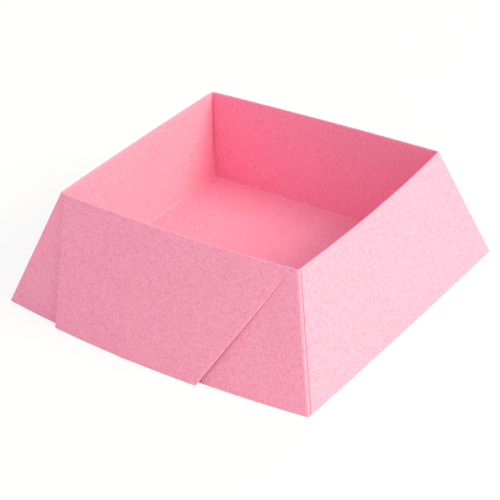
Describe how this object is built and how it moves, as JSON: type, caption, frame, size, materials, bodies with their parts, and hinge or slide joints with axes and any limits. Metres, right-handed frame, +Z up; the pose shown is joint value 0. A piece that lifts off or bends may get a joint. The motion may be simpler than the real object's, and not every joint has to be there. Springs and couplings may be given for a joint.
{
  "type": "folded paper box",
  "caption": "Open square box folded from one sheet of paper, with a shallow tray inside a flared skirt and a trapezoid flap over the skirt at front and back.",
  "frame": {"origin": "on the table under the middle of the skirt", "axes": "+X to the right side, -Y to the front flap, +Z up"},
  "size_m": [0.1016, 0.1076, 0.0342],
  "materials": {
    "pink_paper": "matt uncoated craft paper"
  },
  "bodies": {
    "root": {"folded_sheet": "pink_paper"}
  },
  "joints": []
}
